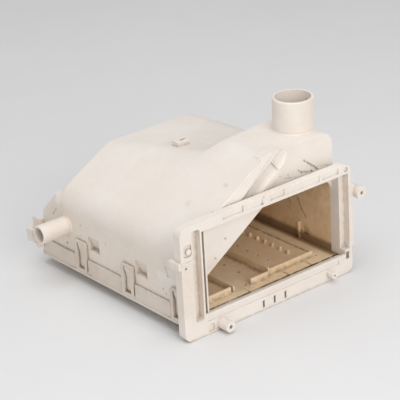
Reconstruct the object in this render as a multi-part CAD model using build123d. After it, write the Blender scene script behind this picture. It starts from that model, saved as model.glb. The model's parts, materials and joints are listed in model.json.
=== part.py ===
from build123d import *
import os
from math import radians, tan

# Detergent drawer housing of a washing machine, stood upside down on its lid, so that the
# drain spigot points up.  Lengths are in millimetres and angles in degrees.  X runs along the
# front frame, Y runs back from the frame's front face and Z runs up from the floor.  The last
# step moves every piece together, so that the origin is the middle of the footprint.

# ---- front frame ------------------------------------------------------------------------
frame_width = 200.0
frame_height = 108.7
frame_depth = 9.0
frame_corner = 8.0
frame_wall = 2.5            # the mouldings are open at the back, between walls this thick
rim = 3.4                   # outer rim right of the channel
top_rail = 9.3
left_flange = 13.0          # wide land left of the groove
groove_width = 9.0
groove_depth = 7.0
groove_foot = 16.0
groove_radius = 2.5
collar_wall = 2.0
channel_foot = 24.0         # channel along the right-hand side
sill_rise = 3.0             # lip along the foot of the mouth
sill_lip = 2.6
guide_thickness = 1.8       # rib that the drawer runs beside
guide_inset = 4.0

# ---- shell ------------------------------------------------------------------------------
wall = 2.5
body_depth = 224.5          # front face of the frame to the rear wall
left_inset = 10.0           # the walls stand this far inside the frame
right_inset = 6.5
web_gap = 7.5               # frame's back to the front wall of the sump
crease_height = 83.0        # foot of the sloping side
side_slope = 29.0
crease_radius = 26.0
fold_radius = 26.0
deck_front = 137.0          # left edge of the deck, carried on to the front wall
deck_rear = 116.0
deck_right_front = 121.0
deck_right_rear = 116.0
deck_radius = 34.0
chamber_overhang = 34.5     # how far the drawer chamber reaches back past the sump
chamber_level = 14.0        # flat part of its top behind the sump
chamber_lap = 20.0
block_top = 138.0           # flat that carries the drain spigot
block_radius = 13.0
block_left_depth = 60.0     # rear edge of that flat, at its left and right ends
block_right_depth = 80.0
block_slope = 42.0
chamber_height = 78.5       # drawer chamber, deeper than the sump
chamber_rear = 58.5
rear_corner = 4.0           # upright edges at the back
chamber_radius = 11.0       # side edges of the chamber's top and sloping back
least_radius = 0.5          # an inside corner is never sharper

# ---- drawer opening in the front wall ------------------------------------------------------
drawer_left = 28.0          # measured in from the frame's left side
drawer_top = 92.0
drawer_shoulder = 38.0
drawer_slope = 33.0
drawer_radius = 13.0

# ---- drain spigot and overflow pipe ---------------------------------------------------------
spigot_y = 46.0
spigot_outer = 19.2
spigot_margin = 0.3         # between the spigot and the right-hand side
spigot_wall = 2.6
spigot_length = 31.0
pipe_back, pipe_z = 40.0, 51.5         # in from the rear wall, and height
pipe_outer = 9.0
pipe_wall = 1.9
pipe_length = 31.0
stub_foot = 1.2             # flare at the foot of a stub, and the rounding of its mouth
stub_mouth = 0.8
stub_root = 2.0             # how far a stub's wall goes down into the shell

# ---- drip edge on the sloping side, measured in from the left-hand wall ----------------------
bead_reach = 7.0            # how far the bead's foot stands out from the front wall
bead_foot = (39.5, 66.0, 104.0)       # left and right edge and height of its lower end
bead_head = (98.0, 117.0, 140.0)      # and of its upper end
bead_radius = 2.6
bead_rise = 1.5             # how far it stands out at the head, where it laps over the block
bead_lap = 9.0
trough_reach = 2.4          # the pad right of the bead, with a trough along it
trough_radius = 10.0
trough_floor = 0.4
trough_edge = ((99.5, 104.5), (116.0, 114.5), (129.0, 134.0))     # right-hand side of the pad
trough_start = (82.0, 105.0)
dam_place = 37.0            # small dam across the trough, measured along it
dam_thickness = 1.2

# ---- lid --------------------------------------------------------------------------------
lid_gap = 10.0              # underside of the lid above the floor
lid_wall = 2.0
lid_clearance = 0.3
lid_bead = 1.0              # bead along the lid's lower edge
lid_bead_height = 2.6
parting = 27.0              # upper edge of the lid's side wall
plate_top = 17.0
plate_thickness = 2.0
plate_clearance = 0.2
lid_ribs = (-0.6, -0.2, 0.2, 0.6)
lid_rib = 2.0
loop_pitch = 70.8
loop_behind_frame = 1.6     # from the frame's back to the first loop
loop_width = 17.6
loop_top = 43.5
loop_foot = 15.0
loop_slot = 9.6
loop_band = 2.5
loop_proud = 0.8
loop_slit = 1.2             # the wall is slit beside each loop, so that it can spring

feet_width = 26.0           # raised water channels under the lid, which it stands on
feet_length = 88.0
feet_back = 18.5            # in from the rear wall
feet = (-0.45, 0.45)
feet_radius = 8.0

# ---- distributor plate ------------------------------------------------------------------------
fin_thickness = 1.8
fin_height = 6.0
tall_fin = 8.0
low_fin = 2.0
jet_radius = 1.5
jet_pitch = 14.4            # main row; the two side rows are spaced wider
side_jet_pitch = 20.8
jet_front = 48.0
jet_row, side_jet_rows = 0.375, (0.025, -0.55)
jet_count, side_jet_count = 9, 7
round_sides = 8             # the small jets and teeth are eight-sided
tooth_row = 0.603
tooth_pitch = 10.7
tooth_front = 45.0
tooth_count = 12
tooth_height = 3.6
tooth_foot, tooth_tip = 2.3, 1.2

# ---- bosses and clips ---------------------------------------------------------------------
screw_hole = 1.7
boss_outer = 5.2
boss_share, boss_z, boss_front = -0.595, 6.6, -13.0
peg_share, peg_z, peg_front, peg_outer, peg_hole = 0.7, 8.4, -8.0, 3.3, 1.0
side_boss_out, side_boss_z, side_boss_front, side_boss_outer = 12.0, 75.6, -1.5, 6.0
ramp_height = 11.0
ramp_reach = 2.4
ramp_land = 2.0
ramp_clearance = 0.2
pocket_width = 16.0
pocket_top = 52.0
pocket_floor = 37.0
pocket_reach = 6.0
pocket_wall = 2.0
pocket_offset = 19.0        # in front of the loop that it serves
latch_y, latch_z, latch_size, latch_depth = 53.5, 26.5, 8.0, 1.6
weep_z, weep_radius = 33.0, 1.2
deck_clip_in, deck_clip_y = 89.5, 118.5

# ---- places that follow -----------------------------------------------------------------
half = frame_width / 2
left = -half + left_inset
right = half - right_inset
web_front = frame_depth + web_gap
sump_depth = body_depth - chamber_overhang
chamber_ridge = sump_depth + chamber_level
groove_left = -half + left_flange
mouth_left = groove_left + groove_width + collar_wall
mouth_right = right - wall
mouth_top = frame_height - top_rail
sill = plate_top + sill_rise
plate_under = plate_top - plate_thickness
lid_floor = lid_gap + lid_wall
catch_height = loop_top - loop_band - ramp_clearance
loop_front = frame_depth + loop_behind_frame + loop_width / 2
loop_places = [loop_front + loop_pitch * step for step in range(3)]
feet_rear = body_depth - feet_back
spigot_x = right - spigot_outer - spigot_margin
pipe_y = body_depth - pipe_back
deck_clip_x = left + deck_clip_in


def along(share):
    """Place along X, given as a share of the frame's half width."""
    return half * share


def box(x0, x1, y0, y1, z0, z1):
    return Pos((x0 + x1) / 2, (y0 + y1) / 2, (z0 + z1) / 2) * Box(x1 - x0, y1 - y0, z1 - z0)


# Sketches drawn in X and Z, in Y and Z or in X and Y, and pulled along the third axis.
def back(sketch, y0, y1):
    return extrude(Plane.XZ.offset(-y0) * sketch, y1 - y0, dir=(0, 1, 0))


def across(sketch, x0, x1):
    return extrude(Plane.YZ.offset(x0) * sketch, x1 - x0, dir=(1, 0, 0))


def up(sketch, z0, z1):
    return extrude(Plane.XY.offset(z0) * sketch, z1 - z0, dir=(0, 0, 1))


def outline(*points):
    return Polygon(*points, align=None)


def area(x0, x1, y0, y1, radius=0.0):
    place = Pos((x0 + x1) / 2, (y0 + y1) / 2)
    if radius:
        return place * RectangleRounded(x1 - x0, y1 - y0, radius)
    return place * Rectangle(x1 - x0, y1 - y0)


def disc(x, y, radius):
    return Pos(x, y) * Circle(radius)


def rounded(sketch, *corners):
    for x, y, radius in corners:
        sketch = fillet(sketch.vertices().sort_by_distance((x, y, 0))[0], radius)
    return sketch


# ---- shell ------------------------------------------------------------------------------
def section(deck_left, deck_right, shoulder):
    """Section across the sump: left wall, sloping side, deck and right wall."""
    ridge = left + (deck_left - crease_height) / tan(radians(side_slope))
    shape = outline((left, 0), (left, crease_height), (ridge, deck_left), (right, deck_right),
                    (right, 0))
    return rounded(shape, (left, crease_height, crease_radius), (ridge, deck_left, fold_radius),
                   (right, deck_right, shoulder))


def shrink(sketch, inset):
    return offset(sketch, -inset) if inset else sketch


def sump(inset):
    """The deck twists from front to rear, so the sump is ruled between its end sections."""
    front = shrink(section(deck_front, deck_right_front, deck_radius), inset)
    rear = shrink(section(deck_rear, deck_right_rear, deck_radius), inset)
    return loft([Plane.XZ.offset(-web_front - inset) * front,
                 Plane.XZ.offset(-sump_depth + inset) * rear], ruled=True)


def outlet_block(inset):
    """Block under the spigot.  Its back falls to the deck along a slanting edge."""
    shape = shrink(section(block_top, block_top, block_radius), inset)
    block = back(shape, web_front + inset, sump_depth - inset)
    edge = Vector(right - left, block_right_depth - block_left_depth, 0).normalized()
    fall = Vector(-edge.Y, edge.X, -tan(radians(block_slope))).normalized()
    face = Plane(Vector(right, block_right_depth, block_top), x_dir=edge,
                 z_dir=edge.cross(fall)).offset(-inset)
    return split(block, face, keep=Keep.BOTTOM)


def chamber(inset):
    """Drawer chamber: it reaches further back than the sump, under a sloping back."""
    start = sump_depth - chamber_lap
    profile = outline((start, 0), (start, chamber_height), (chamber_ridge, chamber_height),
                      (body_depth, chamber_rear), (body_depth, 0))
    solid = across(shrink(profile, inset), left + inset, right - inset)
    top_edges = [edge for edge in solid.edges()
                 if edge.center().Z > chamber_rear - 10 and edge.center().Y > start + inset + 1
                 and abs(edge.tangent_at(0.5).X) < 0.5]
    return fillet(top_edges, max(chamber_radius - inset, least_radius))


def drawer_opening():
    low_x = -half + drawer_left
    ridge = low_x + (drawer_top - drawer_shoulder) / tan(radians(drawer_slope))
    shape = outline((low_x, 0), (low_x, drawer_shoulder), (ridge, drawer_top),
                    (mouth_right, drawer_top), (mouth_right, 0))
    return rounded(shape, (ridge, drawer_top, drawer_radius),
                   (mouth_right, drawer_top, drawer_radius))


def ramp(side, y):
    """Wedge that a snap loop of the lid catches on."""
    edge = left if side < 0 else right
    tip = edge + side * ramp_reach
    wedge = outline((edge - side, catch_height - ramp_height), (edge - side, catch_height),
                    (tip, catch_height), (tip, catch_height - ramp_land),
                    (edge, catch_height - ramp_height))
    return back(wedge, y - loop_slot / 2 + 1, y + loop_slot / 2 - 1)


def pocket(y, skin):
    """Scooped pocket beside a loop; with a skin it is the form that closes it inside."""
    deep = left + pocket_reach + skin
    scoop = outline((left - 1, pocket_top + skin), (left, pocket_top + skin), (deep, pocket_floor),
                    (deep, pocket_floor - skin), (left - 1, pocket_floor - skin))
    return back(scoop, y - pocket_width / 2 - skin, y + pocket_width / 2 + skin)


def stub(place, outer, thickness, length):
    """Pipe stub along +Z of the given place, with a flared foot and a rounded mouth."""
    inner = outer - thickness
    foot = outer + stub_foot
    profile = outline((inner, -stub_root), (foot, -stub_root), (foot, 0), (outer, stub_foot),
                      (outer, length - stub_mouth), (outer - stub_mouth, length), (inner, length))
    return place * revolve(Plane.XZ * profile, Axis.Z)


def shell():
    plan = area(left, right, 0, body_depth, rear_corner)
    outside = sump(0) + outlet_block(0) + (chamber(0) & up(plan, -1, chamber_height + 1))
    body = outside - sump(wall) - outlet_block(wall) - chamber(wall)
    body -= box(left - 1, right + 1, 0, body_depth + 1, -1, plate_top)
    pockets = [y - pocket_offset for y in loop_places[1:]]
    for y in pockets:
        body += pocket(y, pocket_wall) & outside
    for y in pockets:
        body -= pocket(y, 0)
    for side in (-1, 1):
        for y in loop_places:
            body += ramp(side, y)
    return body - back(drawer_opening(), web_front - 1, web_front + wall + 1)


# ---- front frame ------------------------------------------------------------------------
def front_frame():
    plan = Pos(0, frame_height / 2) * RectangleRounded(frame_width, frame_height, frame_corner)
    frame = back(plan, 0, frame_depth)
    groove = area(groove_left, groove_left + groove_width, groove_foot, mouth_top + 3.6,
                  groove_radius)
    frame -= back(groove, -1, groove_depth)
    frame -= box(mouth_left, mouth_right, -1, frame_depth + 1, plate_top, mouth_top)
    frame -= box(mouth_right - 1, half - rim, -1, groove_depth, channel_foot, mouth_top)
    return frame - frame_hollows()


def frame_hollows():
    """Open backs of the left land, the top rail and the foot rail, between their ribs."""
    inside = frame_wall
    hollows = box(-half + inside, groove_left - collar_wall, inside, frame_depth + 1,
                  5, frame_height - 5)
    hollows += box(groove_left + 14, half - 6, inside, frame_depth + 1, mouth_top + inside,
                   frame_height - inside)
    cells = ((-0.91, -0.67), (-0.52, -0.28), (-0.256, -0.04), (-0.014, 0.298), (0.322, 0.61),
             (0.79, 0.91))
    for x0, x1 in cells:
        hollows += box(along(x0), along(x1), inside, frame_depth + 1, inside, plate_top - inside)
    return hollows


def throat():
    """Tube between the frame and the front wall of the sump."""
    tube = area(mouth_left - collar_wall, right, plate_top, mouth_top + collar_wall)
    tube -= area(mouth_left, mouth_right, plate_top, mouth_top)
    return back(tube, frame_depth - 1, web_front + 1)


def rail_details(frame):
    """Lip and guide rib of the mouth, and the stepped faces of the top and foot rails."""
    frame += box(mouth_left, mouth_right, 0, sill_lip, plate_top - 1, sill)
    guide = mouth_left + guide_inset
    frame += box(guide, guide + guide_thickness, sill_lip, web_front + 1, plate_top,
                 mouth_top - 1.5)
    steps = ((-0.52, -0.28, 1.8), (-0.26, -0.06, 1.0), (0.03, 0.2, 1.8), (0.22, 0.62, 1.0),
             (0.65, 0.85, 1.4))
    for x0, x1, depth in steps:
        frame -= box(along(x0), along(x1), -1, depth, mouth_top + 3, frame_height + 1)
    foot_line = 12.5
    frame -= box(mouth_left + 2, mouth_right - 8, -1, 0.9, foot_line, plate_top)
    slot_pitch = 13
    for step in range(3):
        x = along(-0.11) + slot_pitch * step
        frame -= box(x, x + 2.2, -1, frame_wall + 1, frame_wall, 9.6)
    return frame


def land_details(frame):
    """Land beside the groove: ledge with its side lug, recess with a stub, and pilot hole."""
    frame += box(-half, groove_left + 1, -1.4, 1, 74.6, 76.6)
    frame += box(-half - 2.8, -half + 1, 0, 14, 71, 77.5)
    frame -= back(area(-half + 3.5, -half + 12, 81, 92.5, 2), -1, 1.5)
    frame += back(disc(-half + 8.5, 86, 2.6), -0.8, frame_wall)
    frame -= back(disc(-half + 5, 71, 1.1), -2, frame_wall + 1)
    # pockets at the foot of the land, under the right-hand channel and in the top corner
    frame -= back(area(-half + 25.5, -half + 33, 1.5, 9.5, 3), -1, 1.5)
    frame -= box(mouth_right + 1, half - 4, -1, 6, 14.5, 22)
    frame -= back(area(half - 8.5, half - 3.6, 101.6, 106.2, 2), -1, 1.4)
    # right-hand edge strip
    return frame + box(half - 1, half + 1.6, 0, 4, 26, 68.5)


def bosses(frame):
    boss_x = along(boss_share)
    peg_x = along(peg_share)
    frame += back(disc(boss_x, boss_z, boss_outer), boss_front, frame_depth)
    frame += back(disc(peg_x, peg_z, peg_outer), peg_front, frame_depth)
    side_x = half + side_boss_out
    arm = outline((half - 1, 70), (half - 1, 87), (half + 4, 86.5), (side_x, 81.5),
                  (side_x, 70.5), (half + 6, 72.5))
    frame += back(arm, 4, frame_depth)
    frame += back(disc(side_x, side_boss_z, side_boss_outer), side_boss_front, frame_depth)
    frame -= back(disc(boss_x, boss_z, screw_hole), boss_front - 1, frame_depth + 1)
    frame -= back(disc(side_x, side_boss_z, screw_hole), side_boss_front - 1, frame_depth + 1)
    return frame - back(disc(peg_x, peg_z, peg_hole), peg_front - 1, 0)


# ---- drip edge on the sloping side --------------------------------------------------------
def from_left(place):
    """A place on the front wall: its X values start at the left-hand wall, its height stays."""
    return tuple([left + x for x in place[:-1]] + [place[-1]])


def bead():
    """Bead that stands furthest out at its foot and runs out at the top of the block."""
    foot_left, foot_right, foot_z = from_left(bead_foot)
    head_left, head_right, head_z = from_left(bead_head)
    front = web_front - bead_reach
    rear = web_front + bead_lap
    side = outline((front, foot_z - 1), (web_front - bead_rise, head_z), (rear, head_z),
                   (rear, foot_z - 1))
    plan = outline((foot_left, foot_z - 1), (foot_left + 1.5, foot_z + 2.5),
                   (head_left, head_z), (head_right, head_z), (foot_right, foot_z))
    solid = back(plan, front - 1, rear) & across(side, foot_left - 5, head_right + 5)
    ridges = [edge for edge in solid.edges() if edge.length > 40 and edge.center().Y < web_front - 1]
    return fillet(ridges, bead_radius)


def trough():
    """Low pad right of the bead, hollowed along its length and closed by a small dam."""
    foot_right, foot_z = from_left(bead_foot)[1:]
    head_right, head_z = from_left(bead_head)[1:]
    lap = 1.5
    pad = outline((foot_right - lap, foot_z + 0.5), *[from_left(place) for place in trough_edge],
                  (head_right + 1, head_z + 2), (head_right - lap, head_z + 1))
    plate = back(pad, web_front - trough_reach, web_front + 1)
    start_x, start_z = from_left(trough_start)
    run = Vector(head_right - foot_right, 0, head_z - foot_z).normalized()
    axis = Plane(Vector(start_x, web_front - trough_radius + trough_floor, start_z), z_dir=run)
    hollow = axis * Cylinder(trough_radius, 160)
    dam = axis.offset(dam_place) * Box(2 * trough_radius, 2 * trough_radius, dam_thickness)
    return plate - hollow + (plate & dam)


def drip_edge():
    """Bead and trough, kept to the front wall's thickness and to a lap on top of the block."""
    crest = block_top + bead_rise
    skin = 1.5
    rim_section = section(crest, crest, block_radius)
    front = back(rim_section, 0, web_front + skin)
    lap = back(rim_section, web_front, web_front + bead_lap) & box(
        left, right, web_front, web_front + bead_lap, block_top - skin, crest + 1)
    return (bead() + trough()) & (front + lap)


# ---- small features of the shell -------------------------------------------------------------
def bracket():
    """Hanger at the rear left corner, beside the overflow pipe.  Its foot clears the lid."""
    over_lid = parting + 1
    past_lid = left - lid_clearance - lid_wall - lid_bead - 0.5
    profile = outline((left + 1, 45), (left - 3, 46), (left - 10.5, 51.5), (left - 10.5, 41.5),
                      (left - 18, 41.5), (left - 18, 29.5), (left - 10, 23.5), (left - 8, 18),
                      (past_lid, 18), (past_lid, over_lid), (left + 1, over_lid))
    plate = back(profile, body_depth - 3, body_depth)
    return plate + box(left - 18, left - 14, body_depth - 8, body_depth + 1, 29.5, 41.5)


def deck_clip():
    clip = box(deck_clip_x - 6.5, deck_clip_x + 6.5, deck_clip_y - 4.5, deck_clip_y + 4.5,
               118, 128.5)
    return clip - box(deck_clip_x - 1.5, deck_clip_x + 7, deck_clip_y - 1, deck_clip_y + 1, 126, 130)


def latch(part):
    """Blind latch recess inside the right-hand wall, with its rib."""
    reach = latch_size / 2
    part -= box(mouth_right - 1, mouth_right + latch_depth, latch_y - reach, latch_y + reach,
                latch_z - reach, latch_z + reach)
    rib_y = latch_y + reach + 3
    return part + box(mouth_right - 2.5, mouth_right + 0.5, rib_y, rib_y + 2, plate_top, 34)


def housing():
    part = shell() + throat() + bosses(land_details(rail_details(front_frame())))
    part += drip_edge() + bracket() + deck_clip()
    spigot = Pos(spigot_x, spigot_y, block_top)
    part += stub(spigot, spigot_outer, spigot_wall, spigot_length)
    part -= spigot * Cylinder(spigot_outer - spigot_wall, 12)
    pipe = Plane(Vector(left, pipe_y, pipe_z), z_dir=(-1, 0, 0)).location
    part += stub(pipe, pipe_outer, pipe_wall, pipe_length)
    part -= pipe * Cylinder(pipe_outer - pipe_wall, 12)
    part -= across(disc(pipe_y + 0.5, weep_z, weep_radius), left - 1, left + wall + 1)
    return latch(part)


# ---- lid --------------------------------------------------------------------------------
def lid_plan(inset):
    gap = lid_clearance + lid_wall - inset
    return area(left - gap, right + gap, frame_depth + lid_clearance + inset, body_depth + gap,
                rear_corner + gap)


def snap_loop(side, y):
    inner = (left if side < 0 else right) + side * lid_clearance
    outer = inner + side * (lid_wall + loop_proud)
    loop = area(y - loop_width / 2, y + loop_width / 2, lid_gap, loop_top, 2)
    return across(loop, min(inner, outer), max(inner, outer))


def loop_cuts(side, y):
    """Slot that the ramp stands in, and the slits on both sides of the loop."""
    edge = left if side < 0 else right
    cuts = box(edge - 5, edge + 5, y - loop_slot / 2, y + loop_slot / 2, loop_foot,
               loop_top - loop_band)
    for place in (y - loop_width / 2 - loop_slit, y + loop_width / 2):
        cuts += box(edge - 5, edge + 5, place, place + loop_slit, loop_foot, parting + 1)
    return cuts


def water_channel(x):
    reach = feet_width / 2
    front = feet_rear - feet_length
    outside = area(x - reach, x + reach, front, feet_rear, feet_radius)
    inside = area(x - reach + lid_wall, x + reach - lid_wall, front + lid_wall,
                  feet_rear - lid_wall, feet_radius - lid_wall)
    return up(outside, 0, lid_gap + 0.5), up(inside, lid_wall, lid_floor + 0.1)


def distributor_cover():
    tray = up(lid_plan(0), lid_gap, parting)
    tray += up(lid_plan(-lid_bead), lid_gap, lid_gap + lid_bead_height)
    tray -= box(left - 20, right + 20, 0, frame_depth + lid_clearance, 0, parting + 1)
    tray -= up(lid_plan(lid_wall), lid_floor, parting + 1)
    tray -= box(left - 20, right + 20, 0, web_front, plate_under, parting + 1)
    for share in lid_ribs:
        x = along(share)
        tray += box(x - lid_rib / 2, x + lid_rib / 2, 24, body_depth - 13, lid_floor - 0.5,
                    plate_under)
    for share in feet:
        outside, inside = water_channel(along(share))
        tray += outside
        tray -= inside
    for side in (-1, 1):
        for y in loop_places:
            tray += snap_loop(side, y)
            tray -= loop_cuts(side, y)
    return tray


def fin(x0, x1, y0, y1, height):
    return box(x0, x1, y0, y1, plate_top - 0.5, plate_top + height)


def compartments():
    """Walls that part the powder, softener and liquid chambers under the drawer."""
    t = fin_thickness
    rear = body_depth - wall - 8
    main, side, edge, middle = along(0.16), along(0.26), along(0.74), along(-0.28)
    walls = fin(main, main + t, 23, rear, tall_fin) + fin(main, along(0.71), 23, 23 + t, fin_height)
    walls += fin(side, side + t, 34, rear, low_fin) + fin(edge, edge + t, 28, rear, low_fin)
    walls += fin(along(-0.07), along(0.14), 20, 20 + t, fin_height)
    walls += fin(middle, middle + t, 20, rear, fin_height)
    walls += fin(along(-0.84), along(-0.3), 20.5, 20.5 + t, fin_height)
    for share in (-0.156, 0.31, 0.592):
        walls += fin(along(share) - 0.8, along(share) + 0.8, 10, 18, 1.2)
    return walls


def tooth(x, y):
    foot = Plane.XY.offset(plate_top - 0.5) * RegularPolygon(tooth_foot, round_sides)
    tip = Plane.XY.offset(plate_top + tooth_height) * RegularPolygon(tooth_tip, round_sides)
    return Pos(x, y) * loft([foot, tip], ruled=True)


def distributor_plate():
    plate = up(lid_plan(lid_wall + plate_clearance), plate_under, plate_top) + compartments()
    for step in range(tooth_count):
        plate += tooth(along(tooth_row), tooth_front + tooth_pitch * step)
    jets = [(jet_row, jet_front + jet_pitch * step) for step in range(jet_count)]
    for row in side_jet_rows:
        jets += [(row, jet_front + side_jet_pitch * step) for step in range(side_jet_count)]
    for row, y in jets:
        jet = Pos(along(row), y) * RegularPolygon(jet_radius, round_sides)
        plate -= up(jet, plate_under - 1, plate_top + 1)
    return plate


nodes = {"housing": housing(), "distributor_plate": distributor_plate(),
         "distributor_cover": distributor_cover()}
lows = [node.bounding_box().min for node in nodes.values()]
highs = [node.bounding_box().max for node in nodes.values()]
middle_x = (min(low.X for low in lows) + max(high.X for high in highs)) / 2
middle_y = (min(low.Y for low in lows) + max(high.Y for high in highs)) / 2
floor = min(low.Z for low in lows)
os.makedirs("parts", exist_ok=True)
for name, node in nodes.items():
    export_step(Pos(-middle_x, -middle_y, -floor) * node, "parts/" + name + ".step")
print("origin in the drawing:", round(middle_x, 3), round(middle_y, 3), round(floor, 3))
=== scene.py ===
# Detergent drawer housing of a washing machine, stood upside down on its cover.
import bpy
import bmesh
import json
import numpy as np
from math import radians, tan
from mathutils import Matrix, Vector


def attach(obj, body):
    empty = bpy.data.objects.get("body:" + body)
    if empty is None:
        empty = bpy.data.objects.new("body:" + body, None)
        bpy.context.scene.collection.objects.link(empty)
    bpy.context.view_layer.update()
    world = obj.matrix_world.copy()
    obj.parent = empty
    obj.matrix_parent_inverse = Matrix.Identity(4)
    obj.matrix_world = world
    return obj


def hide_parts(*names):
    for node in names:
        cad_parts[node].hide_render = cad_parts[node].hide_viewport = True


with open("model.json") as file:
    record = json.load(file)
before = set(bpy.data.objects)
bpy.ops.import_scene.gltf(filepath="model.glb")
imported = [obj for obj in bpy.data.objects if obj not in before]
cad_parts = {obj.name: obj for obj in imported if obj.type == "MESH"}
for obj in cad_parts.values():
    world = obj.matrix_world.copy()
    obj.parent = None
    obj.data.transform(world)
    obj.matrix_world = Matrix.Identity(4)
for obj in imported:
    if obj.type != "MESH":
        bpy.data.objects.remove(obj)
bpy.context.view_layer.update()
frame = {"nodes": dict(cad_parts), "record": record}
scene = bpy.context.scene
mount = {m["name"]: m for m in frame["record"]["mounts"]}
print("frame loaded", sorted(frame["nodes"]))

# Places are given in millimetres from the middle of the front frame's foot: x to the right,
# y back into the housing, z up.
home = Vector((mount["frame_foot"]["pos_m"][0], mount["frame_front"]["pos_m"][1], 0))


def at(x, y, z):
    return home + Vector((x, y, z)) / 1000


# shader helpers
def feed(tree, socket, value):
    if isinstance(value, bpy.types.NodeSocket):
        tree.links.new(value, socket)
    else:
        socket.default_value = value


def addNode(tree, kind, place, sockets=None, **settings):
    # place is a column and a row on the node sheet
    node = tree.nodes.new("ShaderNode" + kind)
    node.location = (place[0] * 190, -place[1] * 170)
    for key, value in settings.items():
        setattr(node, key, value)
    for key, value in (sockets or {}).items():
        feed(tree, node.inputs[key], value)
    return node


def calc(tree, place, operation, *values, clamp=False):
    node = addNode(tree, "Math", place, dict(enumerate(values)), operation=operation, use_clamp=clamp)
    return node.outputs[0]


def arrows(tree, place, operation, *values, scale=None):
    node = addNode(tree, "VectorMath", place, dict(enumerate(values)), operation=operation)
    if scale is not None:
        feed(tree, node.inputs["Scale"], scale)
    return node.outputs["Value" if operation in ("LENGTH", "DOT_PRODUCT") else "Vector"]


def blend(tree, place, factor, first, second):
    node = addNode(tree, "Mix", place, {"Factor": factor}, data_type="RGBA")
    feed(tree, node.inputs[6], first)
    feed(tree, node.inputs[7], second)
    return node.outputs[2]


def remap(tree, place, value, low, high, toLow=0.0, toHigh=1.0):
    sockets = {"Value": value, "From Min": low, "From Max": high, "To Min": toLow, "To Max": toHigh}
    node = addNode(tree, "MapRange", place, sockets, interpolation_type="SMOOTHSTEP")
    return node.outputs[0]


def cloud(tree, place, position, scale, detail=3.0, rough=0.55):
    sockets = {"Vector": position, "Scale": scale, "Detail": detail, "Roughness": rough}
    return addNode(tree, "TexNoise", place, sockets).outputs["Fac"]


def newGroup(name, inputs, outputs):
    group = bpy.data.node_groups.new(name, "ShaderNodeTree")
    kinds = {"vector": "NodeSocketVector", "color": "NodeSocketColor", "value": "NodeSocketFloat"}
    for label, kind, value in inputs:
        socket = group.interface.new_socket(label, in_out="INPUT", socket_type=kinds[kind])
        socket.default_value = value
    for label, kind in outputs:
        group.interface.new_socket(label, in_out="OUTPUT", socket_type=kinds[kind])
    start = group.nodes.new("NodeGroupInput")
    end = group.nodes.new("NodeGroupOutput")
    start.location = (-250, 0)
    end.location = (2000, 0)
    return group, start.outputs, end.inputs


def useGroup(tree, group, place, **sockets):
    node = addNode(tree, "Group", place, node_tree=group)
    for key, value in sockets.items():
        feed(tree, node.inputs[key], value)
    return node.outputs[0]


# shared effects
def makeAgedColor():
    # two sizes of cloud decide how far the fresh colour has gone towards the aged one
    inputs = [("position", "vector", (0, 0, 0)), ("fresh", "color", (1, 1, 1, 1)),
              ("aged", "color", (1, 1, 1, 1)), ("scale", "value", 18.0), ("amount", "value", 0.6)]
    group, start, end = newGroup("agedColor", inputs, [("color", "color")])
    finer, broadShare, smallShare = 7.0, 0.65, 0.35
    lowest, highest = 0.36, 0.64    # the stretch of cloud values that the colours change over
    broad = cloud(group, (0, 0), start["position"], start["scale"])
    smallScale = calc(group, (0, 1), "MULTIPLY", start["scale"], finer)
    small = cloud(group, (1, 1), start["position"], smallScale, detail=5.0, rough=0.65)
    both = calc(group, (3, 0), "ADD", calc(group, (2, 0), "MULTIPLY", broad, broadShare),
                calc(group, (2, 1), "MULTIPLY", small, smallShare))
    share = calc(group, (5, 0), "MULTIPLY", remap(group, (4, 0), both, lowest, highest), start["amount"])
    group.links.new(blend(group, (6, 0), share, start["fresh"], start["aged"]), end["color"])
    return group


def makeCornerGrimeAndShade():
    # painted shade: hidden corners are darkened, as grime and as the shade that falls there, broken up by a
    # cloud
    inputs = [("position", "vector", (0, 0, 0)), ("reach", "value", 0.006),
              ("strength", "value", 0.8), ("breakup", "value", 160.0)]
    group, start, end = newGroup("cornerGrimeAndShade", inputs, [("mask", "value")])
    barelyHidden, mostHidden = 0.16, 0.66    # how hidden a place is where the darkening begins and where it is full
    thinLow, thinHigh, thinnest = 0.3, 0.62, 0.25    # where the cloud is low, this little darkening is left
    shade = addNode(group, "AmbientOcclusion", (0, 0), {"Distance": start["reach"]}, samples=8)
    hidden = calc(group, (1, 0), "SUBTRACT", 1.0, shade.outputs["AO"])
    broken = cloud(group, (1, 1), start["position"], start["breakup"], detail=4.0)
    patchy = remap(group, (2, 1), broken, thinLow, thinHigh, toLow=thinnest)
    mask = calc(group, (3, 0), "MULTIPLY", remap(group, (2, 0), hidden, barelyHidden, mostHidden), patchy)
    group.links.new(calc(group, (4, 0), "MULTIPLY", mask, start["strength"], clamp=True), end["mask"])
    return group


def makeSpecks():
    # each cell may hold one round speck, whose size comes from the cell's own random colour
    inputs = [("position", "vector", (0, 0, 0)), ("scale", "value", 150.0),
              ("size", "value", 0.1), ("density", "value", 0.1)]
    group, start, end = newGroup("specks", inputs, [("mask", "value")])
    cell = addNode(group, "TexVoronoi", (0, 0), {"Vector": start["position"], "Scale": start["scale"]})
    dice = addNode(group, "SeparateColor", (1, 1), {0: cell.outputs["Color"]})
    radius = calc(group, (2, 0), "MULTIPLY", start["size"], dice.outputs[1])
    spot = calc(group, (3, 0), "LESS_THAN", cell.outputs["Distance"], radius)
    chosen = calc(group, (3, 1), "LESS_THAN", dice.outputs[0], start["density"])
    group.links.new(calc(group, (4, 0), "MULTIPLY", spot, chosen), end["mask"])
    return group


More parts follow.
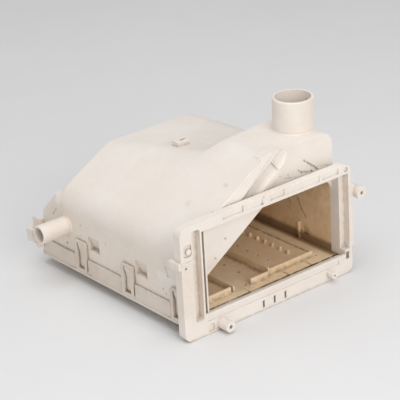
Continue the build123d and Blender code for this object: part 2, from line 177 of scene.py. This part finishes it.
def makeHairScratches():
    # a thin band round one level of a wandering cloud is a hairline; a second cloud leaves most out
    inputs = [("position", "vector", (0, 0, 0)), ("scale", "value", 30.0),
              ("width", "value", 0.004), ("amount", "value", 0.5)]
    group, start, end = newGroup("hairScratches", inputs, [("mask", "value")])
    turned = {"Vector": start["position"], "Rotation": (0.4, 0.9, 0.3), "Scale": (1.0, 0.25, 1.4)}
    stretch = addNode(group, "Mapping", (0, 0), turned)
    level = cloud(group, (1, 0), stretch.outputs[0], start["scale"], detail=1.5)
    off = calc(group, (3, 0), "ABSOLUTE", calc(group, (2, 0), "SUBTRACT", level, 0.5))
    line = calc(group, (4, 0), "LESS_THAN", off, start["width"])
    patchScale, patchLow, patchHigh = 26.0, 0.52, 0.66    # hairlines show only where this cloud is high
    patches = cloud(group, (2, 1), start["position"], patchScale, detail=2.0)
    places = remap(group, (3, 1), patches, patchLow, patchHigh)
    mask = calc(group, (5, 0), "MULTIPLY", line, places)
    group.links.new(calc(group, (6, 0), "MULTIPLY", mask, start["amount"]), end["mask"])
    return group


def makeStroke():
    # distance from the line between two places, turned into a soft edged mark
    inputs = [("position", "vector", (0, 0, 0)), ("first", "vector", (0, 0, 0)),
              ("last", "vector", (0, 0, 0)), ("width", "value", 0.001), ("strength", "value", 1.0)]
    group, start, end = newGroup("stroke", inputs, [("mask", "value")])
    solid = 0.35    # share of the width that is fully marked
    away = arrows(group, (0, 0), "SUBTRACT", start["position"], start["first"])
    line = arrows(group, (0, 1), "SUBTRACT", start["last"], start["first"])
    along = calc(group, (2, 0), "DIVIDE", arrows(group, (1, 0), "DOT_PRODUCT", away, line),
                 arrows(group, (1, 1), "DOT_PRODUCT", line, line), clamp=True)
    nearest = arrows(group, (3, 0), "SCALE", line, scale=along)
    distance = arrows(group, (5, 0), "LENGTH", arrows(group, (4, 0), "SUBTRACT", away, nearest))
    core = calc(group, (5, 1), "MULTIPLY", start["width"], solid)
    mask = remap(group, (6, 0), distance, start["width"], core)
    group.links.new(calc(group, (7, 0), "MULTIPLY", mask, start["strength"]), end["mask"])
    return group


def makeMouldGrain():
    # fine spark-eroded grain on a slightly wavy wall
    inputs = [("position", "vector", (0, 0, 0)), ("grain", "value", 1600.0),
              ("wave", "value", 40.0), ("waviness", "value", 3.0)]
    group, start, end = newGroup("mouldGrain", inputs, [("height", "value")])
    fine = cloud(group, (0, 0), start["position"], start["grain"], detail=2.0)
    swell = cloud(group, (0, 1), start["position"], start["wave"], detail=1.0)
    slow = calc(group, (1, 1), "MULTIPLY", swell, start["waviness"])
    group.links.new(calc(group, (2, 0), "ADD", fine, slow), end["height"])
    return group


agedColor = makeAgedColor()
cornerGrimeAndShade = makeCornerGrimeAndShade()
specks = makeSpecks()
hairScratches = makeHairScratches()
stroke = makeStroke()
mouldGrain = makeMouldGrain()
print("shared effects made")

# materials
# Marks and painted shade: first place, last place, width and strength of each stroke. Places and widths are
# in millimetres.
scuffs = [
    # on the front web and round it
    ((58.4, 16.5, 119.3), (65.5, 16.5, 113.7), 1.1, 0.7),
    ((65.5, 16.5, 113.7), (75.0, 16.5, 105.8), 1.3, 0.8),
    ((75.1, 16.5, 108.3), (88.7, 16.5, 106.2), 0.6, 0.45),
    ((50.9, 16.5, 111.7), (55.8, 16.5, 108.6), 1.3, 0.65),
    ((55.8, 16.5, 108.6), (67.1, 16.5, 106.1), 0.9, 0.7),
    ((66.6, 16.5, 106.6), (67.3, 16.5, 106.0), 1.5, 0.9),
    ((34.1, 16.5, 109.4), (48.6, 16.5, 106.0), 0.8, 0.5),
    ((38.8, 16.5, 111.6), (39.3, 16.5, 108.0), 0.8, 0.4),
    ((25.1, 16.3, 115.3), (25.6, 16.3, 115.0), 1.6, 0.9),
    ((25.6, 16.3, 114.9), (31.0, 16.5, 111.8), 0.7, 0.3),
    ((6.5, 15.2, 129.0), (7.4, 15.2, 129.3), 1.3, 0.55),
    ((4.4, 15.2, 136.2), (5.2, 15.2, 136.8), 1.1, 0.4),
    ((-38.0, 16.5, 75.2), (-36.4, 16.5, 73.8), 1.5, 0.5),
    ((-50.2, 16.5, 60.0), (-48.6, 16.5, 58.8), 1.2, 0.45),
    ((-4.4, 0.8, 108.6), (-3.6, 0.8, 108.4), 1.2, 0.85),
    ((-6.4, 0.5, 102.4), (-5.4, 0.5, 103.2), 1.8, 0.5),
    # on the left wall
    ((-90, 160.2, 58.6), (-90, 160.0, 58.2), 1.0, 0.5),
    ((-90, 161.7, 47.9), (-90, 161.4, 47.4), 1.0, 0.4),
    ((-90, 123.6, 51.4), (-90, 123.4, 51.0), 1.0, 0.45),
    ((-90, 37.4, 62.5), (-90, 32.8, 52.4), 0.7, 0.5),
    ((-90, 41.4, 35.9), (-90, 41.2, 35.5), 1.3, 0.6),
    ((-90, 37.6, 32.4), (-90, 37.3, 32.0), 1.3, 0.6),
    ((-90, 33.1, 51.4), (-90, 32.6, 51.0), 1.2, 0.65),
    ((-90, 198.4, 63.8), (-90, 204.6, 56.6), 1.0, 0.55),
    # on the inside of the right wall
    ((91, 77.0, 54.3), (91, 73.0, 49.3), 0.9, 0.8),
    ((91, 62.8, 58.7), (91, 60.4, 51.2), 1.0, 0.8),
    ((91, 60.4, 51.2), (91, 52.6, 40.3), 1.1, 0.85),
    ((91, 65.4, 58.2), (91, 58.0, 45.6), 0.6, 0.5),
]
# small grey smudges; the last stroke is painted shade, a broad grey cast over the deck
smudgesAndDeckShade = [
    ((-25.6, 25.9, 118.7), (-24.8, 26.8, 119.2), 3.5, 0.22),
    ((-52.6, 46.3, 103.7), (-51.6, 47.5, 104.3), 4.0, 0.15),
    ((0.0, 16.5, 112.0), (22.0, 16.5, 128.0), 4.0, 0.08),
    # painted shade over the deck
    ((10.0, 100.0, 122.0), (80.0, 120.0, 116.0), 50.0, 0.11),
]
chalk = [
    ((-90, 44.4, 48.4), (-90, 19.6, 45.4), 7.0, 0.75),
    ((-90, 30.0, 55.0), (-90, 22.0, 60.0), 5.0, 0.45),
]
# painted warm shade: the first stroke darkens and warms the left wall and the third the right side of the
# mouth; the second is darker and warmer low on the web, and the last is a warm tint higher up at the right
warmShadeAndTint = [
    ((-92, 0.0, 46.0), (-92, 210.0, 46.0), 40.0, 0.24),
    ((-52.0, 16.5, 30.0), (-52.0, 16.5, 50.0), 16.0, 0.3),
    ((93, 2.0, 34.0), (93, 2.0, 84.0), 8.0, 0.3),
    ((76.0, 30.0, 150.0), (76.0, 30.0, 166.0), 14.0, 0.16),
]
paintedFootShade = [    # painted shade: a dark brown band along the foot of the right and rear walls, in the shaded gap beside the plate
    ((91, 16, 19), (92, 190, 19), 9.0, 0.85),
    ((92, 190, 19), (-60, 208, 19), 9.0, 0.8),
]

housingLook = {
    "fresh": (0.86, 0.80, 0.735), "aged": (0.78, 0.70, 0.615), "cloudScale": 14.0, "cloudAmount": 0.55,
    "grimeAndShade": (0.24, 0.17, 0.105), "grimeShadeReach": 0.006, "grimeShadeStrength": 0.55,
    "speckDensity": 0.05, "speckSize": 0.11, "scratches": 0.04, "roughness": (0.36, 0.52),
    "inside": (0.92, 0.71, 0.47), "insideAged": (0.74, 0.51, 0.29), "paintedFootShade": paintedFootShade,
    "marks": {"warmShadeAndTint": (warmShadeAndTint, (0.62, 0.47, 0.33)), "chalk": (chalk, (0.86, 0.83, 0.78)),
              "smudgesAndDeckShade": (smudgesAndDeckShade, (0.22, 0.2, 0.2)), "scuffs": (scuffs, (0.07, 0.055, 0.045))},
}
plateLook = {
    "fresh": (0.94, 0.77, 0.55), "aged": (0.78, 0.57, 0.35), "cloudScale": 24.0, "cloudAmount": 0.8,
    "grimeAndShade": (0.11, 0.062, 0.03), "grimeShadeReach": 0.009, "grimeShadeStrength": 0.9,
    "speckDensity": 0.16, "speckSize": 0.14, "scratches": 0.15, "roughness": (0.3, 0.5), "paintedFootShade": paintedFootShade,
}
coverLook = {
    "fresh": (0.74, 0.665, 0.585), "aged": (0.62, 0.53, 0.43), "cloudScale": 16.0, "cloudAmount": 0.7,
    "grimeAndShade": (0.2, 0.14, 0.085), "grimeShadeReach": 0.006, "grimeShadeStrength": 0.7,
    "speckDensity": 0.08, "speckSize": 0.12, "scratches": 0.1, "roughness": (0.38, 0.54),
}
# What the three plastics share. Scales, the grain and the wave count repeats in a metre. raggedReach
# and relief are in metres. hairWidth and the spans are values of a cloud, which runs from 0 to 1.
wear = {
    "insideScale": 22.0, "insideAmount": 0.9, "grimeShadeBreakup": 170.0, "speckScale": 120.0, "speckShade": 0.7,
    "hairScale": 34.0, "hairWidth": 0.0035, "raggedScale": 520.0, "raggedReach": 0.0035,
    "brokenScale": 620.0, "brokenSpan": (0.3, 0.58), "faintest": 0.25,
    "footShadeColor": (0.2, 0.115, 0.05), "dullTint": 0.1, "dullness": 0.2,
    "sheenScale": 55.0, "sheenSpan": (0.3, 0.7), "grain": 1500.0, "wave": 38.0, "waviness": 2.5,
    "pitDepth": 0.8, "reliefStrength": 0.35, "relief": 0.00012,
}


def markMask(tree, row, position, marks):
    # the strongest of all strokes at each place
    mask = 0.0
    for step, (first, last, width, strength) in enumerate(marks):
        one = useGroup(tree, stroke, (step, row), position=position, first=at(*first), last=at(*last),
                       width=width / 1000, strength=strength)
        mask = calc(tree, (step, row + 1.3), "MAXIMUM", mask, one) if step else one
    return mask


def raggedPlaces(tree, position):
    # places pushed about by a fine cloud, so that a mark drawn on them has a ragged edge
    sockets = {"Vector": position, "Scale": wear["raggedScale"], "Detail": 3.0}
    jitter = addNode(tree, "TexNoise", (-2, 6), sockets).outputs["Color"]
    centred = arrows(tree, (-1, 7), "SUBTRACT", jitter, (0.5, 0.5, 0.5))
    return arrows(tree, (0, 6), "ADD", position,
                  arrows(tree, (-1, 6), "SCALE", centred, scale=wear["raggedReach"]))


def makePlastic(name, look):
    material = bpy.data.materials.new(name)
    material.use_nodes = True
    tree = material.node_tree
    shader = tree.nodes["Principled BSDF"]
    tree.nodes["Material Output"].location = (3600, 0)
    shader.location = (3300, 0)
    position = addNode(tree, "TexCoord", (-3, 0)).outputs["Object"]
    # one dark colour for grime, painted corner shade, specks and hairlines
    dirtAndShade = (*look["grimeAndShade"], 1)

    # the plastic itself, then grime with painted corner shade, specks and hairlines
    color = useGroup(tree, agedColor, (0, 0), position=position, fresh=(*look["fresh"], 1),
                     aged=(*look["aged"], 1), scale=look["cloudScale"], amount=look["cloudAmount"])
    if "inside" in look:
        # the inside of the shell is tinted tan: partly stain, partly painted warm light that bounces round
        # the cavity
        insideTint = useGroup(tree, agedColor, (0, -2), position=position, fresh=(*look["inside"], 1),
                           aged=(*look["insideAged"], 1), scale=wear["insideScale"],
                           amount=wear["insideAmount"])
        inner = addNode(tree, "Attribute", (0, -4), attribute_name="insideShell").outputs["Fac"]
        color = blend(tree, (2, 0), inner, color, insideTint)
    # painted shade: hidden corners are darkened towards the dark colour, together with grime
    grimeAndShade = useGroup(tree, cornerGrimeAndShade, (2, 2), position=position, reach=look["grimeShadeReach"],
                     strength=look["grimeShadeStrength"], breakup=wear["grimeShadeBreakup"])
    color = blend(tree, (4, 0), grimeAndShade, color, dirtAndShade)
    dots = useGroup(tree, specks, (3, 3), position=position, scale=wear["speckScale"],
                    size=look["speckSize"], density=look["speckDensity"])
    color = blend(tree, (5, 0), calc(tree, (4, 3), "MULTIPLY", dots, wear["speckShade"]), color, dirtAndShade)
    hairs = useGroup(tree, hairScratches, (3, 4), position=position, scale=wear["hairScale"],
                     width=wear["hairWidth"], amount=look["scratches"])
    color = blend(tree, (6, 0), hairs, color, dirtAndShade)
    pitted = calc(tree, (5, 3), "ADD", dots, hairs, clamp=True)

    # painted shade at the walls' foot, then strokes, some of them painted shade; strokes darker than
    # dullTint also dull the surface
    ragged = raggedPlaces(tree, position)
    if "paintedFootShade" in look:
        brown = markMask(tree, 17, ragged, look["paintedFootShade"])
        if "inside" in look:
            brown = calc(tree, (2, 16), "MULTIPLY", brown, inner)
        color = blend(tree, (7, 2), brown, color, (*wear["footShadeColor"], 1))
    worn = pitted
    gaps = cloud(tree, (0, 7), ragged, wear["brokenScale"], detail=2.0)
    broken = remap(tree, (1, 7), gaps, *wear["brokenSpan"], toLow=wear["faintest"])
    for step, (strokes, tint) in enumerate(look.get("marks", {}).values()):
        marked = calc(tree, (6 + step, 1), "MULTIPLY", markMask(tree, 8 + 3 * step, ragged, strokes), broken)
        color = blend(tree, (7 + step, 0), marked, color, (*tint, 1))
        if max(tint) < wear["dullTint"]:
            worn = calc(tree, (7 + step, 3), "ADD", worn, marked, clamp=True)
    feed(tree, shader.inputs["Base Color"], color)

    # sheen and relief; only specks and hairlines are sunk, since strokes lie on the surface
    patches = cloud(tree, (9, 2), position, wear["sheenScale"], detail=4.0)
    sheen = remap(tree, (10, 2), patches, *wear["sheenSpan"], *look["roughness"])
    rubbed = calc(tree, (10, 3), "MAXIMUM", worn, grimeAndShade)
    dulled = calc(tree, (11, 3), "MULTIPLY", rubbed, wear["dullness"])
    feed(tree, shader.inputs["Roughness"], calc(tree, (12, 2), "ADD", sheen, dulled, clamp=True))
    grain = useGroup(tree, mouldGrain, (10, 5), position=position, grain=wear["grain"], wave=wear["wave"],
                     waviness=wear["waviness"])
    sunk = calc(tree, (11, 6), "MULTIPLY", pitted, wear["pitDepth"])
    height = calc(tree, (12, 5), "SUBTRACT", grain, sunk)
    sockets = {"Height": height, "Strength": wear["reliefStrength"], "Distance": wear["relief"]}
    feed(tree, shader.inputs["Normal"], addNode(tree, "Bump", (13, 5), sockets).outputs[0])
    return material


ivoryPlastic = makePlastic("agedIvoryPlastic", housingLook)
platePlastic = makePlastic("stainedPlatePlastic", plateLook)
coverPlastic = makePlastic("agedCoverPlastic", coverLook)
print("plastics made")

# moulded pieces
# Each CAD node is copied, its triangles are joined and its corners get the small radius of a
# mould, in millimetres.
moulding = {
    "housing": {"piece": "HousingMoulding", "slot": "housing_plastic", "material": ivoryPlastic,
                "radius": 0.22, "steps": 2},
    "distributor_plate": {"piece": "DistributorPlateMoulding", "slot": "plate_plastic",
                          "material": platePlastic, "radius": 0.22, "steps": 2},
    "distributor_cover": {"piece": "DistributorCoverMoulding", "slot": "cover_plastic",
                          "material": coverPlastic, "radius": 0.25, "steps": 2},
}
flatAngle = radians(0.5)     # triangles that meet flatter than this are one face
cornerAngle = radians(30)    # corners sharper than this get the radius
joinDistance = 1e-6          # corners nearer than this are one
cutDistance = 1e-5           # corners nearer than this to a cut lie on it
cellSize = 0.02              # large flat faces are cut into cells, so that each stays simple
firstCut, lastCut = 0.637, 0.001    # the first is a share of a cell, the last a distance from the far end
cellClearance = 0.00045      # a cut keeps this far from every corner, which is wider than the radius
# a cut looks for such a place in steps of 0.1 mm to either side, the nearest first
cellNudges = np.array([side * step * 0.0001 for step in range(80) for side in (1, -1)])

# The shell's outside in millimetres. deckLeft and deckRight are heights at the front and at the
# rear, blockEdge is its depth at the left and at the right, creaseCenter is x and z, and pockets
# are the depths of their middles.
slopeAngle = radians(29)
halfWall = 1.3
uprightHalfWall = halfWall * 1.1    # the same measured upright where the skin slopes
shellForm = {
    "left": -90.0, "right": 93.5, "front": 16.5, "sumpRear": 190.0, "rear": 224.5,
    "creaseCenter": (-64.0, 67.7), "creaseRadius": 26.0, "creaseHeight": 83.0,
    "deckLeft": (137.0, 116.0), "deckRight": (121.0, 116.0), "deckRadius": 34.0,
    "blockTop": 138.0, "blockRadius": 13.0, "blockEdge": (60.0, 80.0), "blockFall": tan(radians(42)),
    "chamberTop": 78.5, "chamberRidge": 204.0, "chamberRear": 58.5, "chamberRadius": 11.0,
    "pockets": (71.2, 142.0), "pocketHalf": 9, "pocketDepth": 7, "pocketHeights": (35, 54),
}


def insideShell(points):
    # height of the outer skin above each place, less about half a wall: side arc, sloping side, the
    # deck that twists from front to rear, the block with its falling back, and the chamber behind
    # them; the scooped pockets beside the loops are open to the outside and left out
    form = shellForm
    x, y, z = points.T
    left, right = form["left"], form["right"]
    away = np.clip((y - form["front"]) / (form["sumpRear"] - form["front"]), 0, 1)
    over = np.clip((x - left) / (right - left), 0, 1)

    def cornered(height, radius, depth):
        # a level that falls by a quarter circle over the last radius of the depth
        return height - radius + np.sqrt(np.maximum(radius ** 2 - np.clip(depth, 0, radius) ** 2, 0))

    side = form["creaseHeight"] + (x - left) * tan(slopeAngle)
    creaseX, creaseZ = form["creaseCenter"]
    arc = creaseZ + np.sqrt(np.maximum(form["creaseRadius"] ** 2 - (x - creaseX) ** 2, 0))
    side = np.where(x < creaseX - form["creaseRadius"] * np.sin(slopeAngle), arc, side)

    deckLeft = form["deckLeft"][0] + (form["deckLeft"][1] - form["deckLeft"][0]) * away
    deckRight = form["deckRight"][0] + (form["deckRight"][1] - form["deckRight"][0]) * away
    deck = deckLeft + (deckRight - deckLeft) * over
    deck = cornered(deck, form["deckRadius"], x - right + form["deckRadius"])

    edge = form["blockEdge"][0] + (form["blockEdge"][1] - form["blockEdge"][0]) * over
    block = cornered(form["blockTop"], form["blockRadius"], x - right + form["blockRadius"])
    block = np.minimum(block, form["blockTop"] - (y - edge) * form["blockFall"])
    sump = np.minimum(side, np.maximum(deck, block)) - uprightHalfWall

    fall = (y - form["chamberRidge"]) / (form["rear"] - form["chamberRidge"])
    chamber = form["chamberTop"] - np.maximum(fall, 0) * (form["chamberTop"] - form["chamberRear"])
    depth = np.maximum(left + form["chamberRadius"] - x, x - right + form["chamberRadius"])
    chamber = cornered(chamber, form["chamberRadius"], depth) - uprightHalfWall

    inSump = (z < sump) & (y < form["sumpRear"] - halfWall)
    inChamber = (z < chamber) & (y < form["rear"] - halfWall)
    walls = (x > left + halfWall) & (x < right - halfWall) & (y > form["front"] + halfWall)
    foot, head = form["pocketHeights"]
    scoop = np.minimum(np.abs(y - form["pockets"][0]), np.abs(y - form["pockets"][1])) < form["pocketHalf"]
    scoop &= (x < left + form["pocketDepth"]) & (z > foot) & (z < head)
    return walls & (inSump | inChamber) & ~scoop


def markInside(mesh):
    # a face is inside when the place just off its middle lies within the shell
    count = len(mesh.polygons)
    middles, normals = np.empty(count * 3), np.empty(count * 3)
    mesh.polygons.foreach_get("center", middles)
    mesh.polygons.foreach_get("normal", normals)
    places = (middles.reshape(-1, 3) - np.array(home)) * 1000 + normals.reshape(-1, 3)
    stain = mesh.attributes.new("insideShell", "FLOAT", "FACE")
    stain.data.foreach_set("value", insideShell(places).astype(np.float32))


def cutCells(shape):
    # each cut goes to the nearest level that is clear of every corner, or else to the clearest
    corners = np.array([corner.co for corner in shape.verts])
    for axis in range(3):
        normal = Vector([float(axis == other) for other in range(3)])
        levels = corners[:, axis]
        for start in np.arange(levels.min() + cellSize * firstCut, levels.max() - lastCut, cellSize):
            tries = start + cellNudges
            gaps = np.abs(tries[:, None] - levels).min(axis=1)
            level = tries[np.argmax(np.minimum(gaps, cellClearance))]
            everything = shape.verts[:] + shape.edges[:] + shape.faces[:]
            bmesh.ops.bisect_plane(shape, geom=everything, dist=cutDistance,
                                   plane_co=normal * level, plane_no=normal)


def mouldedCopy(node, settings):
    shape = bmesh.new()
    shape.from_mesh(frame["nodes"][node].data)
    bmesh.ops.remove_doubles(shape, verts=shape.verts, dist=joinDistance)
    bmesh.ops.dissolve_limit(shape, angle_limit=flatAngle, verts=shape.verts, edges=shape.edges)
    cutCells(shape)
    mesh = bpy.data.meshes.new(settings["piece"])
    shape.to_mesh(mesh)
    shape.free()
    mesh.attributes.remove(mesh.attributes["custom_normal"])    # the triangles' own normals no longer fit
    mesh.shade_smooth()
    if node == "housing":
        markInside(mesh)
    piece = bpy.data.objects.new(settings["piece"], mesh)
    scene.collection.objects.link(piece)
    mesh.materials.append(settings["material"])
    rounding = piece.modifiers.new("mouldRadius", "BEVEL")
    rounding.width = settings["radius"] / 1000
    rounding.segments = settings["steps"]
    rounding.limit_method = "ANGLE"
    rounding.angle_limit = cornerAngle
    rounding.use_clamp_overlap = False
    rounding.miter_outer = "MITER_ARC"
    flats = piece.modifiers.new("flatFaces", "WEIGHTED_NORMAL")    # keeps walls flat beside their radius
    flats.mode = "FACE_AREA"
    flats.weight = 50
    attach(piece, "root")
    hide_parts(node)
    return piece


for nodeName, nodeSettings in moulding.items():
    mouldedCopy(nodeName, nodeSettings)
print("mouldings made")

# floor, light and camera
studio = {
    "floorColor": (0.80, 0.80, 0.80), "floorAged": (0.76, 0.76, 0.765),
    "cloudScale": 3.0, "cloudAmount": 0.4, "floorRoughness": 0.8, "floorSpecular": 0.1,
    "floorSize": 6.0, "floorDrop": 0.0002,
    "worldColor": (0.97, 0.96, 0.96), "worldStrength": 0.55,
}


def makeFloorPaper():
    material = bpy.data.materials.new("floorPaper")
    material.use_nodes = True
    tree = material.node_tree
    shader = tree.nodes["Principled BSDF"]
    position = addNode(tree, "TexCoord", (-3, 0)).outputs["Object"]
    tint = useGroup(tree, agedColor, (-1, 0), position=position, fresh=(*studio["floorColor"], 1),
                    aged=(*studio["floorAged"], 1), scale=studio["cloudScale"], amount=studio["cloudAmount"])
    feed(tree, shader.inputs["Base Color"], tint)
    shader.inputs["Roughness"].default_value = studio["floorRoughness"]
    shader.inputs["Specular IOR Level"].default_value = studio["floorSpecular"]
    return material


def makeFloor():
    # just under the cover's channels, so that the two don't lie in one plane
    reach, level = studio["floorSize"], -studio["floorDrop"]
    corners = [(x * reach, y * reach, level) for x, y in ((-1, -1), (1, -1), (1, 1), (-1, 1))]
    mesh = bpy.data.meshes.new("floor")
    mesh.from_pydata(corners, [], [(0, 1, 2, 3)])
    floor = bpy.data.objects.new("floor", mesh)
    scene.collection.objects.link(floor)
    mesh.materials.append(makeFloorPaper())


def makeWorld():
    world = bpy.data.worlds.new("studio")
    world.use_nodes = True
    back = world.node_tree.nodes["Background"]
    back.inputs["Color"].default_value = (*studio["worldColor"], 1)
    back.inputs["Strength"].default_value = studio["worldStrength"]
    scene.world = world


lamps = {
    "keyLamp": {"place": (-290, -1350, 760), "aim": (0, 60, 60), "size": 0.9, "power": 10.2,
                "color": (1.0, 0.975, 0.95)},
    "fillLamp": {"place": (-1500, -300, 900), "aim": (0, 100, 60), "size": 1.2, "power": 0.8,
                 "color": (1.0, 0.96, 0.92)},
    "topLamp": {"place": (-200, 0, 1500), "aim": (0, 100, 60), "size": 1.2, "power": 8.3,
                "color": (0.95, 0.97, 1.0)},
}


def makeLamp(name, settings):
    light = bpy.data.lights.new(name, "AREA")
    light.size = settings["size"]
    light.energy = settings["power"]
    light.color = settings["color"]
    lamp = bpy.data.objects.new(name, light)
    lamp.location = at(*settings["place"])
    lamp.rotation_euler = (lamp.location - at(*settings["aim"])).to_track_quat("Z", "Y").to_euler()
    scene.collection.objects.link(lamp)


# angles in degrees; the roll leans the picture to one side
view = {
    "place": (-935.36, -1089.15, 746.17), "azimuth": -38.29, "elevation": 23.97, "roll": -3.39,
    "lens": 162.0, "sensorWidth": 36, "clip": (0.05, 50),
}


def makeCamera():
    azimuth, elevation, roll = (radians(view[key]) for key in ("azimuth", "elevation", "roll"))
    reach = np.cos(elevation)
    back = Vector((np.sin(azimuth) * reach, -np.cos(azimuth) * reach, np.sin(elevation)))
    level = Vector((np.cos(azimuth), np.sin(azimuth), 0))
    upright = back.cross(level)
    right = level * np.cos(roll) + upright * np.sin(roll)
    top = upright * np.cos(roll) - level * np.sin(roll)
    data = bpy.data.cameras.new("camera")
    data.lens = view["lens"]
    data.sensor_width = view["sensorWidth"]
    data.clip_start, data.clip_end = view["clip"]
    camera = bpy.data.objects.new("camera", data)
    camera.matrix_world = Matrix((right, top, back)).transposed().to_4x4()
    camera.location = at(*view["place"])
    scene.collection.objects.link(camera)
    scene.camera = camera


makeFloor()
makeWorld()
for lampName, lampSettings in lamps.items():
    makeLamp(lampName, lampSettings)
makeCamera()
scene.view_settings.view_transform = "Standard"
print("studio made")
